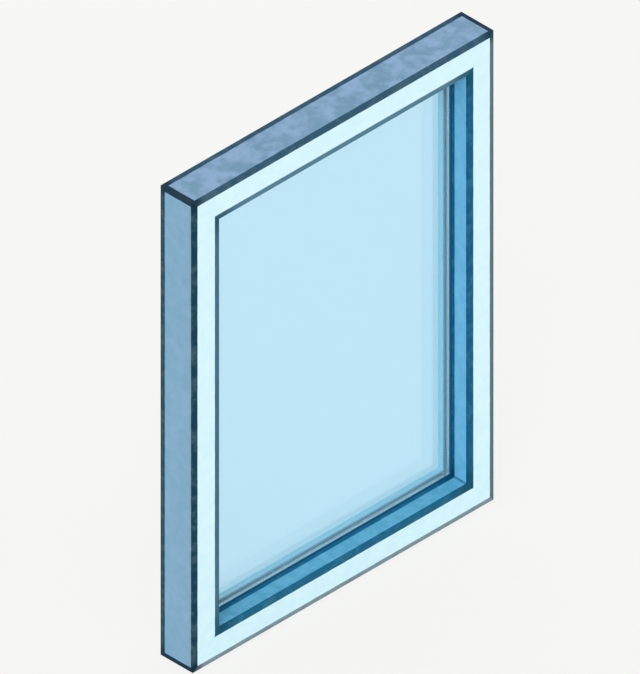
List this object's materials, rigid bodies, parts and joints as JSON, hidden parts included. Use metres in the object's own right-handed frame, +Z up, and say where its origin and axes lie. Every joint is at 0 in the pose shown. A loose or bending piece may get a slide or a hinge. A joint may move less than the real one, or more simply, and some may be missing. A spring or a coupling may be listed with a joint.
{
  "type": "fixed window",
  "caption": "Tall rectangular fixed window: mitred hollow plastic frame, deep plain reveal, blue-tinted double glazing held by snap-in beads at the back.",
  "frame": {"origin": "middle of the underside of the sill, half way through the depth of the frame", "axes": "+X along the sill to the right as seen from the front, +Y from the plain front to the beaded back, +Z up"},
  "size_m": [0.74, 0.0875, 1],
  "materials": {
    "frame": "satin icy white faces, slate blue outer sides, mid blue reveal, dark line on the arrises",
    "bead": "satin icy white",
    "gasket_front": "matt dark blue",
    "gasket_back": "matt white",
    "glass": "clear, blue tint",
    "spacer": "satin, with a row of breathing holes",
    "spacer_key": "matt pale blue grey",
    "edge_seal": "matt dark grey",
    "glazing_block": "matt blue",
    "weep_cover": "satin slate blue"
  },
  "bodies": {
    "root": {"bead_head": "bead", "bead_jamb_left": "bead", "bead_jamb_right": "bead", "bead_sill": "bead", "edge_seal_head": "edge_seal", "edge_seal_jamb_left": "edge_seal", "edge_seal_jamb_right": "edge_seal", "edge_seal_sill": "edge_seal", "frame_head": "frame", "frame_jamb_left": "frame", "frame_jamb_right": "frame", "frame_sill": "frame", "gasket_back_head": "gasket_back", "gasket_back_jamb_left": "gasket_back", "gasket_back_jamb_right": "gasket_back", "gasket_back_sill": "gasket_back", "gasket_front_head": "gasket_front", "gasket_front_jamb_left": "gasket_front", "gasket_front_jamb_right": "gasket_front", "gasket_front_sill": "gasket_front", "glass_back": "glass", "glass_front": "glass", "location_block_head_left": "glazing_block", "location_block_head_right": "glazing_block", "location_block_jamb_left_high": "glazing_block", "location_block_jamb_left_low": "glazing_block", "location_block_jamb_right_high": "glazing_block", "location_block_jamb_right_low": "glazing_block", "setting_block_left": "glazing_block", "setting_block_right": "glazing_block", "spacer_head": "spacer", "spacer_jamb_left": "spacer", "spacer_jamb_right": "spacer", "spacer_key_bottom_left": "spacer_key", "spacer_key_bottom_right": "spacer_key", "spacer_key_top_left": "spacer_key", "spacer_key_top_right": "spacer_key", "spacer_sill": "spacer", "weep_cover_left": "weep_cover", "weep_cover_right": "weep_cover"}
  },
  "joints": []
}
